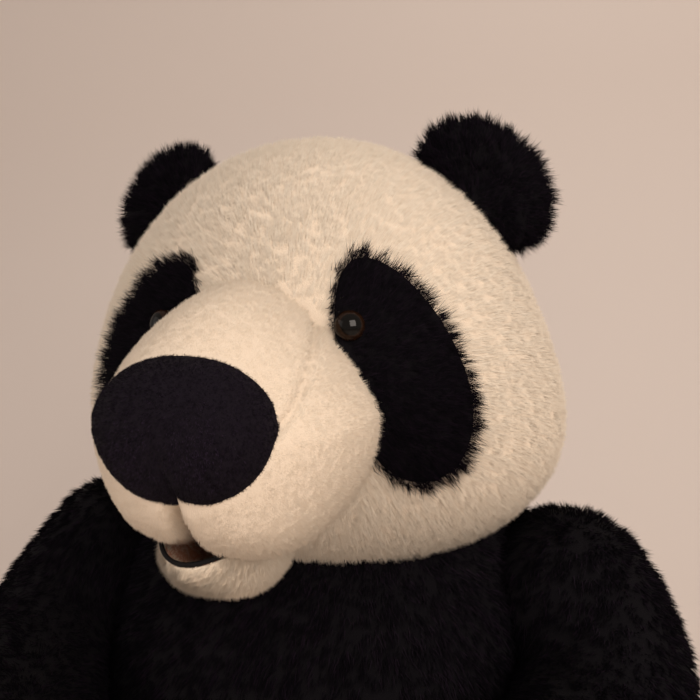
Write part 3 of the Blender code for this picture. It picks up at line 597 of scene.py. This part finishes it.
def skinPiece(name, surface, across, along, look, body, nodes):
    # a closed skin: u wraps round and v runs from pole to pole
    u = np.arange(across) / across
    v = np.linspace(0, 1, along + 1)
    v[0], v[-1] = 0.002, 0.998
    uu, vv = np.meshgrid(u, v, indexing="ij")
    points = surface(uu.ravel(), vv.ravel())
    poles = surface(np.zeros(2), np.array((0.0, 1.0)))
    index = np.arange(across * (along + 1)).reshape(across, along + 1)
    nextIndex = np.roll(index, -1, axis=0)
    quads = np.stack((index[:, :-1], nextIndex[:, :-1], nextIndex[:, 1:], index[:, 1:]), -1)
    quads = quads.reshape(-1, 4)
    lowPole, highPole = len(points), len(points) + 1
    caps = np.concatenate((
        np.stack((np.full(across, lowPole), nextIndex[:, 0], index[:, 0]), -1),
        np.stack((np.full(across, highPole), index[:, -1], nextIndex[:, -1]), -1)))
    triangles = np.concatenate((quads[:, [0, 1, 2]], quads[:, [0, 2, 3]], caps))
    points = np.concatenate((points, poles))
    a, b, c = (points[triangles[:, i]] for i in range(3))
    if (np.cross(a, b) * c).sum() < 0:
        triangles = triangles[:, ::-1]
    piece = meshPiece(name, points, triangles, [look.made])
    if nodes:
        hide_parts(*nodes)
    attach(piece, body)
    return piece


def within(surface, inset):
    # the same form drawn in towards its middle, for what fills it
    def place(u, v):
        points, out = frameOf(surface, u, v)
        outward = np.where(((points - points.mean(0)) * out).sum() < 0, -1.0, 1.0)
        return points - out * outward * inset
    return place


skinPiece("headCover", headSurface, 128, 80, creamSkin, "head", ["face_panel", "rear_head_panel"])
skinPiece("headFilling", lambda u, v: headAt(u * 2 * math.pi, v * math.pi, -0.004), 96, 60, fibreFilling,
          "head", ["head_filling"])
skinPiece("muzzleCover", muzzleSurface, 144, 90, creamSkin, "head",
          ["muzzle_bridge", "muzzle_cheek_left", "muzzle_cheek_right"])
skinPiece("muzzleFilling", lambda u, v: muzzleAt(u * 2 * math.pi, v * math.pi, -0.0038), 96, 60,
          fibreFilling, "head", ["muzzle_filling"])
skinPiece("noseCover", noseSurface, 96, 64, velourSkin, "head", ["nose_cover"])
skinPiece("nosePad", lambda u, v: noseAt(u * 2 * math.pi, v * math.pi, -0.0026), 64, 40, fibreFilling,
          "head", ["nose_pad"])
skinPiece("chinCover", chinSurface, 64, 40, creamSkin, "head", ["chin_cover"])
skinPiece("chinFilling", lambda u, v: chinAt(u * 2 * math.pi, v * math.pi, -0.003) - (0, 0, 0.002), 48, 32,
          fibreFilling, "head", ["chin_filling"])
yokeSurface, bellySurface = torsoSkin(yoke), torsoSkin(belly)
skinPiece("yokeCover", yokeSurface, 112, 56, blackSkin, "torso", ["chest_panel", "upper_back_panel"])
skinPiece("bellyCover", bellySurface, 112, 56, creamSkin, "torso",
          ["belly_panel", "lower_back_panel", "base_panel"])
skinPiece("tailCover", limbSurface(tail, 1), 40, 36, creamSkin, "tail", ["tail_cover"])
for side, word in ((1, "left"), (-1, "right")):
    skinPiece(f"earCover_{word}", earWhole(side), 48, 32, blackSkin, f"ear_{word}",
              [f"ear_back_{word}", f"ear_front_{word}"])
    skinPiece(f"earFilling_{word}", within(earWhole(side), 0.002), 40, 24, fibreFilling, f"ear_{word}",
              [f"ear_filling_{word}"])
    skinPiece(f"eyePatch_{word}", patchWhole(side), 72, 24, blackSkin, "head",
              [f"eye_patch_{word}"])
    skinPiece(f"armCover_{word}", limbSurface(arm, side), 64, 72, blackSkin, f"arm_{word}",
              [f"arm_cover_{word}"])
    skinPiece(f"legCover_{word}", limbSurface(leg, side), 64, 72, blackSkin, f"leg_{word}",
              [f"leg_cover_{word}"])
    skinPiece(f"armFilling_{word}", limbSurface(arm, side, -0.004), 48, 56, fibreFilling, f"arm_{word}",
              [f"arm_filling_{word}"])
    skinPiece(f"legFilling_{word}", limbSurface(leg, side, -0.004), 48, 56, fibreFilling, f"leg_{word}",
              [f"leg_filling_{word}"])


def lathePiece(name, profile, steps, look, place):
    # a profile of (radius, height) turned about its own Z axis
    turns = np.arange(steps) * 2 * math.pi / steps
    rings = np.array([[(r * math.cos(a), r * math.sin(a), z) for a in turns] for r, z in profile[1:-1]])
    count = len(rings)
    points = np.concatenate((rings.reshape(-1, 3), [(0, 0, profile[0][1]), (0, 0, profile[-1][1])]))
    faces = []
    for row in range(count - 1):
        for step in range(steps):
            a, b = row * steps + step, row * steps + (step + 1) % steps
            faces += [(a, a + steps, b + steps), (a, b + steps, b)]
    for step in range(steps):
        faces.append((count * steps, step, (step + 1) % steps))
        top = (count - 1) * steps
        faces.append((count * steps + 1, top + (step + 1) % steps, top + step))
    piece = meshPiece(name, points, np.array(faces), [look.made])
    piece.matrix_world = place
    return piece


eye = {"seat": np.array((0.0510, -0.1196, 0.034)), "radius": 0.0082, "tall": 0.0062, "base": 0.0018,
       "shank": 0.0022, "shankLength": 0.016}
washer = {"radius": 0.9, "chamfer": 0.86, "thick": 0.0012, "down": 0.62}
for side, word in ((1, "left"), (-1, "right")):
    seat = onHead(eye["seat"] * (side, 1, 1))
    away = Vector(unit((seat - head["centre"]) / head["radii"] ** 2))
    place = Matrix.Translation(seat) @ away.to_track_quat("Z", "Y").to_matrix().to_4x4()
    dome = [(eye["radius"] * math.sin(a), eye["base"] + 0.001 + eye["tall"] * math.cos(a))
            for a in np.linspace(0, math.pi / 2, 15)]
    end = eye["base"] - eye["shankLength"]
    profile = dome + [(eye["radius"] * 0.97, eye["base"] - 0.0002), (eye["shank"], eye["base"] - 0.0003),
                      (eye["shank"], end), (0, end)]
    piece = lathePiece(f"eyeDome_{word}", profile, 48, eyePlastic, place)
    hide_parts(f"eye_{word}")
    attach(piece, "head")
    inside = eye["base"] - eye["shankLength"] * washer["down"]
    chamfer, rim = eye["radius"] * washer["chamfer"], eye["radius"] * washer["radius"]
    profile = [(0, inside), (chamfer, inside), (rim, inside - washer["thick"] / 2),
               (chamfer, inside - washer["thick"]), (0, inside - washer["thick"])]
    piece = lathePiece(f"eyeWasher_{word}", profile, 40, washerPlastic, place)
    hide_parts(f"eye_washer_{word}")
    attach(piece, "head")


lip = {"raised": 0.0016, "liningThick": 0.0010, "cord": 0.0012, "twists": 46, "sides": 16, "steps": 120}


def liningSurface(u, v):
    # dished cloth floor of the mouth
    under = v > 0.5
    reach = np.where(under, 2 - v * 2, v * 2)
    around = np.stack((np.cos(u * 2 * math.pi), np.sin(u * 2 * math.pi)))
    x, y = (chin["radii"][:2] - 0.0016)[:, None] * 0.98 * around * reach
    high = lip["raised"] - chin["dish"] * (1 - reach ** 2) - np.where(under, lip["liningThick"], 0.0)
    high = high + chin["corners"] * (x / chin["radii"][0]) ** 2
    return chin["place"] + turnX(stack(x, y, high), chin["tilt"])


skinPiece("mouthLining", liningSurface, 96, 60, liningCloth, "head", ["mouth_lining"])


def cordPiece(name, line, radius, twists, look, body, node):
    # a sewn-down cord of twisted strands along a line of points
    steps, sides = len(line), lip["sides"]
    ahead = unit(np.gradient(line, axis=0))
    aside = unit(np.cross(ahead, (0, 0, 1.0)))
    above = np.cross(aside, ahead)
    around = np.arange(sides) * 2 * math.pi / sides
    turns = np.linspace(0, twists * 2 * math.pi, steps)
    bulge = 1 + 0.10 * np.cos(3 * around[None] + turns[:, None])
    ends = np.clip(np.minimum(np.arange(steps), np.arange(steps)[::-1]) / 2.0, 0.15, 1)[:, None]
    ring = (aside[:, None] * np.cos(around)[None, :, None]
            + above[:, None] * np.sin(around)[None, :, None])
    points = (line[:, None] + ring * (radius * bulge * ends)[..., None]).reshape(-1, 3)
    faces = []
    for row in range(steps - 1):
        for step in range(sides):
            a, b = row * sides + step, row * sides + (step + 1) % sides
            faces += [(a, b, b + sides), (a, b + sides, a + sides)]
    last = (steps - 1) * sides
    faces += [(0, step + 1, step) for step in range(1, sides - 1)]
    faces += [(last, last + step, last + step + 1) for step in range(1, sides - 1)]
    piece = meshPiece(name, points, np.array(faces)[:, ::-1], [look.made])
    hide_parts(node)
    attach(piece, body)


sweep = np.linspace(math.pi * 0.96, math.pi * 2.04, lip["steps"])
lipLine = chin["place"] + turnX(
    stack((chin["radii"][0] - 0.0004) * np.cos(sweep), (chin["radii"][1] + 0.0006) * np.sin(sweep),
          lip["raised"] + chin["corners"] * np.cos(sweep) ** 2), chin["tilt"])
cordPiece("lipCord", lipLine, lip["cord"], lip["twists"], lipCord, "head", "lip_piping")

pad = {"turn": math.radians(200), "along": 0.80, "halfTurn": math.radians(38), "halfLength": 0.10,
       "sole": 0.62, "thick": 0.0026, "edge": 0.0009, "under": 0.0005, "bare": 0.030}


def padHigh(v, crown):
    # a pad's height over the cover: crowned above, flat below
    reach = np.where(v > 0.5, 2 - v * 2, v * 2)
    above = pad["edge"] + pad["thick"] * np.sqrt(np.maximum(0, 1 - reach ** crown))
    return reach, np.where(v > 0.5, pad["under"], above)[:, None]


def pawPad(side):
    def place(u, v):
        reach, high = padHigh(v, 4)
        s, t = reach * np.cos(u * 2 * math.pi), reach * np.sin(u * 2 * math.pi)
        points = arm.point(pad["turn"] + pad["halfTurn"] * s, pad["along"] + pad["halfLength"] * t, high)
        return points * (side, 1, 1)
    return place


def solePad(side):
    def place(u, v):
        reach, high = padHigh(v, 6)
        return leg.point(u * 2 * math.pi, 1 - 0.25 * pad["sole"] * reach, high) * (side, 1, 1)
    return place


for side, word in ((1, "left"), (-1, "right")):
    skinPiece(f"pawPad_{word}", pawPad(side), 64, 40, suedeSkin, f"arm_{word}",
              [f"paw_pad_{word}"])
    skinPiece(f"footPad_{word}", solePad(side), 72, 48, suedeSkin, f"leg_{word}",
              [f"foot_pad_{word}"])

# what lies inside the covers keeps its shape and gets its own cloth
innerLooks = {"filling": fibreFilling, "pellet_bag": bagCloth, "blank_label": labelSatin}
for nodeName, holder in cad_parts.items():
    for word, look in innerLooks.items():
        if word in nodeName:
            for place in holder.material_slots:
                place.material = look.made
print("skins sewn")


def spreadRoots(surface, density, keep):
    # tuft places spread evenly over a surface, density in tufts per square millimetre
    steps = 100
    edge = np.linspace(0, 1, steps + 1)
    uu, vv = np.meshgrid(edge, edge, indexing="ij")
    grid = surface(uu.ravel(), vv.ravel()).reshape(steps + 1, steps + 1, 3)
    corner = grid[:-1, :-1]
    area = np.linalg.norm(np.cross(grid[1:, :-1] - corner, grid[:-1, 1:] - corner), axis=-1).ravel()
    count = int(area.sum() * 1e6 * density)
    cell = np.searchsorted(np.cumsum(area) / area.sum(), dice.random(count) * 0.999999)
    u = (cell // steps + dice.random(count)) / steps
    v = (cell % steps + dice.random(count)) / steps
    points, normals = frameOf(surface, u, v)
    if ((points - grid.reshape(-1, 3).mean(0)) * normals).sum() < 0:
        normals = -normals
    kept = keep(points) if keep else np.ones(count, bool)
    return points[kept], normals[kept]


# shared by every pile: the gap it keeps to the floor, and the most strands in one piece
strand = {"offFloor": 0.0006, "perPiece": 49000}


def growPile(name, body, surface, looks, style, keep=None, nap=None, lengths=None):
    centres, out = spreadRoots(surface, style["tufts"], keep)
    tufts, each = len(centres), style["each"]
    lie = nap(centres, out) if nap else stack(0, 0, -1) + 0 * centres
    lie = unit(lie - (lie * out).sum(-1, keepdims=True) * out)
    cross = np.cross(out, lie)
    stray = (lie * dice.normal(0, style["stray"], (tufts, 1))
             + cross * dice.normal(0, style["stray"], (tufts, 1)))
    long = style["length"] * (1 + dice.uniform(-style["uneven"], style["uneven"], tufts))
    if lengths:
        long = long * lengths(centres)
    tone = dice.integers(0, len(looks), tufts)

    def many(values):
        return np.repeat(values, each, axis=0)
    total = tufts * each
    out, lie, cross, stray, centres, long = (many(x) for x in (out, lie, cross, stray, centres, long))
    tone = np.where(dice.random(total) < 0.65, dice.integers(0, len(looks), total), many(tone))
    aside = (lie * dice.normal(0, style["tuft"], (total, 1))
             + cross * dice.normal(0, style["tuft"], (total, 1)))
    own = dice.normal(0, style["stray"] * 0.5, (total, 3))
    long = (long * (1 + dice.uniform(-0.25, 0.15, total)))[:, None]
    first = unit(out + lie * style["lean"] * 0.5 + stray * 0.6 + own)
    second = unit(out * 0.8 + lie * style["lean"] * 1.4 + stray * 1.3 + own * 1.5)
    root = centres + aside - out * style["sunk"]
    middle = root - aside * style["gather"] * 0.4 + first * long * 0.5
    tip = middle - aside * style["gather"] * 0.6 + second * long * 0.5
    for place in (root, tip):
        place[:, 2] = np.maximum(place[:, 2], strand["offFloor"])
    ahead = unit(tip - root)
    sideA = unit(np.cross(ahead, dice.normal(0, 1, (total, 3))))
    sideB = np.cross(ahead, sideA)
    thick = style["width"] * 0.6 * (1 + dice.uniform(-0.2, 0.2, (total, 1)))
    rings, shades = [], []
    for turn in np.arange(3) * 2 * math.pi / 3:
        radial = sideA * math.cos(turn) + sideB * math.sin(turn)
        rings.append(root + radial * thick)
        shades.append(unit(out * style["soft"] + radial * (1 - style["soft"])))
    rings.append(tip)
    shades.append(unit(out * style["soft"] + ahead * (1 - style["soft"])))
    points = np.stack(rings, 1)
    shades = np.stack(shades, 1)
    points[..., 2] = np.maximum(points[..., 2], strand["offFloor"] * 0.5)
    pattern = np.array([(0, 1, 3), (1, 2, 3), (2, 0, 3), (0, 2, 1)])
    order = dice.permutation(total)
    groups = max(1, math.ceil(total / strand["perPiece"]))
    for group in range(groups):
        chosen = order[group::groups]
        faces = (pattern[None] + (np.arange(len(chosen)) * 4)[:, None, None]).reshape(-1, 3)
        label = name if groups == 1 else f"{name}_{group + 1}"
        piece = meshPiece(label, points[chosen].reshape(-1, 3), faces, looks,
                          np.repeat(tone[chosen], len(pattern)), shades[chosen].reshape(-1, 3))
        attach(piece, body)
    print("pile", name, total)


thin = 1.0

headPile = {"length": 0.0072, "uneven": 0.2, "width": 0.00036, "tufts": 0.17 * thin, "each": 8,
            "tuft": 0.0011, "lean": 1.3, "stray": 0.11, "gather": 0.12, "sunk": 0.001, "soft": 1.0}
muzzleStyle = {"length": 0.0032, "uneven": 0.2, "width": 0.00032, "tufts": 0.36 * thin, "each": 6,
               "tuft": 0.0009, "lean": 1.1, "stray": 0.14, "gather": 0.1, "sunk": 0.0006,
               "soft": 1.0}
bodyPile = {"length": 0.0090, "uneven": 0.22, "width": 0.00062, "tufts": 0.055 * thin, "each": 8,
            "tuft": 0.0018, "lean": 1.25, "stray": 0.2, "gather": 0.3, "sunk": 0.001, "soft": 0.75}
patchPile = {"length": 0.0085, "uneven": 0.25, "width": 0.00030, "tufts": 0.24 * thin, "each": 8,
             "tuft": 0.0011, "lean": 0.8, "stray": 0.30, "gather": 0.3, "sunk": 0.001, "soft": 0.6}
earPile = {"length": 0.0090, "uneven": 0.3, "width": 0.00038, "tufts": 0.17 * thin, "each": 8,
           "tuft": 0.0012, "lean": 0.8, "stray": 0.28, "gather": 0.35, "sunk": 0.001, "soft": 0.5}
nosePile = {"length": 0.0013, "uneven": 0.2, "width": 0.00022, "tufts": 1.0 * thin, "each": 3,
            "tuft": 0.0004, "lean": 0.6, "stray": 0.2, "gather": 0.1, "sunk": 0.0002, "soft": 0.85}
suedeStyle = {"length": 0.0010, "uneven": 0.2, "width": 0.00026, "tufts": 0.5 * thin, "each": 3,
              "tuft": 0.0005, "lean": 1.0, "stray": 0.3, "gather": 0.2, "sunk": 0.0003,
              "soft": 0.8}

muzzleFront = np.array((0, -0.20, 0.455))  # the head's pile is combed away from here


def headNap(points, out):
    away = unit(points - muzzleFront)
    behind = np.clip(points[:, 1:2] / 0.10, 0, 1)
    swirl = 0.15 * np.sin(points[..., [2, 0, 1]] * 45) * (1 - behind)
    return away + (0, 0, -0.25) - behind * (0, 0, 0.9) + swirl


def headKeep(points):
    local = points - head["centre"]
    neckShare = -local[:, 2] / head["radii"][2]
    return ~inPatch(points, -0.03) & ~inMuzzle(points, -0.004) & (neckShare < 0.93)


def insideHead(points):
    return (((points - head["centre"]) / (head["radii"] - 0.002)) ** 2).sum(-1) < 1


growPile("headPile", "head", headSurface, creamPile, headPile, headKeep, headNap)


def muzzleNap(points, out):
    return unit(points - np.array((0, -0.26, 0.44))) + (0, 0, -0.15)


def muzzleLengths(points):
    # shortest beside the nose, longer towards the cheeks
    back = np.clip((points[:, 1] + 0.20) / 0.09, 0, 1)
    lip = np.clip((muzzle["place"][2] - 0.040 - points[:, 2]) / 0.02, 0, 1)
    return 0.62 + 0.9 * back + 0.75 * lip * (1 - back)


def muzzleKeep(points):
    toNose = (points - nose["place"]) / (nose["radii"] + 0.001)
    return ((toNose ** 2).sum(-1) > 1) & ~insideHead(points)


growPile("muzzlePile", "head", muzzleSurface, muzzlePile, muzzleStyle, muzzleKeep, muzzleNap,
         muzzleLengths)


def noseFront(points):
    return points[:, 1] < -0.185


def noseNap(points, out):
    return stack(points[:, 0] * 8, 0, -0.3 + 0 * points[:, 0])


growPile("noseNap", "head", noseSurface, velourPile, nosePile,
         noseFront, noseNap)


def sheenKeep(points):
    # painted highlight: the nap is drawn lighter in two bands beside the seam, standing in for the
    # velour's sheen
    across, up = (turnX(points - nose["place"], -nose["tilt"]) / nose["radii"])[:, [0, 2]].T
    sheenBands = (near(across, 0.42, 0.20) + near(across, -0.38, 0.26)) * near(up, 0.05 + 0.3 * across, 0.48)
    return noseFront(points) & (dice.random(len(points)) < 0.8 * sheenBands)


growPile("noseSheen", "head", noseSurface, velourSheen, nosePile, sheenKeep, noseNap)


def chinKeep(points):
    local = turnX(points - chin["place"], -chin["tilt"])
    rise = chin["corners"] * (local[:, 0] / chin["radii"][0]) ** 2
    return (local[:, 2] < rise - 0.0004) & ~insideHead(points)


chinStyle = dict(muzzleStyle, length=0.0055, lean=0.9)
growPile("chinPile", "head", chinSurface, muzzlePile, chinStyle, chinKeep,
         lambda points, out: (points - chin["place"]) * 10 + (0, 0, -0.3))


def torsoNap(points, out):
    return stack(points[:, 0] * 1.5, points[:, 1] * 0.5, -1)


def yokeKeep(points):
    return points[:, 2] >= torso["yoke"]


def creamKeep(points):
    return points[:, 2] < torso["yoke"]


growPile("yokePile", "torso", yokeSurface, blackPile, bodyPile, yokeKeep, torsoNap)
bellyStyle = dict(headPile, tufts=0.060 * thin, width=0.00062, length=0.0090)
growPile("bellyPile", "torso", bellySurface, creamPile, bellyStyle, creamKeep, torsoNap)
growPile("tailPile", "tail", limbSurface(tail, 1), creamPile, bellyStyle, None,
         lambda points, out: stack(0, 1, -0.3) + 0 * points)


def offPad(side):
    # bare where the paw pad is sewn on
    middle = arm.point(np.array([pad["turn"]]), np.array([pad["along"]]))[0] * (side, 1, 1)
    return lambda points: np.linalg.norm(points - middle, axis=-1) > pad["bare"]


def padFace(surface):
    # the outer face alone of a pad
    return lambda u, v: surface(u, v * 0.5)


for side, word in ((1, "left"), (-1, "right")):
    mirror = np.array((side, 1, 1))
    armAlong = unit(arm.tip - arm.root) * mirror
    legAlong = unit(leg.tip - leg.root) * mirror
    growPile(f"armPile_{word}", f"arm_{word}", limbSurface(arm, side), blackPile,
             bodyPile, offPad(side), lambda points, out: armAlong + (0, 0, -0.4) + 0 * points)
    growPile(f"pawNap_{word}", f"arm_{word}", padFace(pawPad(side)), suedePile, suedeStyle)
    growPile(f"soleNap_{word}", f"leg_{word}", padFace(solePad(side)), suedePile, suedeStyle)
    soleY = leg.tip[1] - 0.012
    growPile(f"legPile_{word}", f"leg_{word}", limbSurface(leg, side), blackPile, bodyPile,
             lambda points: points[:, 1] > soleY, lambda points, out: legAlong + (0, 0, -0.4) + 0 * points)
    earBase = onHead(np.array((math.sin(ear["lean"][side]), 0, math.cos(ear["lean"][side])))) * mirror
    for behind in (True, False):
        part = "back" if behind else "front"
        surface = earSurface(side, behind)
        growPile(f"earPile_{part}_{word}", f"ear_{word}", surface, blackPile, earPile, None,
                 lambda points, out: points - earBase)
    growPile(f"patchPile_{word}", "head", patchSurface(side), blackPile, patchPile,
             lambda points: ~inMuzzle(points, -0.006), headNap)
print("pile grown")

# floor and light
backdrop = {"wide": 5.0, "front": -3.0, "back": 1.3, "bend": 0.9, "tall": 3.5, "bendSteps": 16,
            "colour": (0.74, 0.665, 0.615)}


def makeBackdrop(room):
    outline = [(room["front"], 0.0), (room["back"] - room["bend"], 0.0)]
    for step in range(1, room["bendSteps"] + 1):
        turn = step / room["bendSteps"] * math.pi / 2
        outline.append((room["back"] - room["bend"] * (1 - math.sin(turn)),
                        room["bend"] * (1 - math.cos(turn))))
    outline.append((room["back"], room["tall"]))
    corners = [(side * room["wide"], y, z) for side in (-1, 1) for y, z in outline]
    count = len(outline)
    faces = [(i, i + count, i + count + 1, i + 1) for i in range(count - 1)]
    mesh = bpy.data.meshes.new("floor")
    mesh.from_pydata(corners, [], faces)
    mesh.shade_smooth()
    piece = bpy.data.objects.new("floor", mesh)
    bpy.context.scene.collection.objects.link(piece)
    piece.data.materials.append(Look("floorPaint", room["colour"], 0.85).made)
    return piece


floorPiece = makeBackdrop(backdrop)


def areaLight(name, place, aim, size, power, colour):
    lamp = bpy.data.lights.new(name, "AREA")
    lamp.size = size
    lamp.energy = power
    lamp.color = colour
    holder = bpy.data.objects.new(name, lamp)
    bpy.context.scene.collection.objects.link(holder)
    holder.location = place
    holder.rotation_euler = (Vector(aim) - Vector(place)).to_track_quat("-Z", "Y").to_euler()


areaLight("key", (0.95, -1.15, 1.15), (0, 0, 0.42), 0.9, 19, (1.0, 0.88, 0.78))
areaLight("fill", (-1.4, -1.2, 0.9), (0, 0, 0.35), 1.6, 6, (1.0, 0.92, 0.86))
areaLight("back", (0.3, 1.0, 1.7), (0, 0, 0.4), 1.2, 4, (1.0, 0.93, 0.88))
world = bpy.data.worlds.new("studio")
world.use_nodes = True
ambient = world.node_tree.nodes["Background"].inputs
ambient["Color"].default_value = (0.84, 0.73, 0.66, 1)
ambient["Strength"].default_value = 0.58
bpy.context.scene.world = world
bpy.context.scene.view_settings.view_transform = "Standard"
print("stage set")
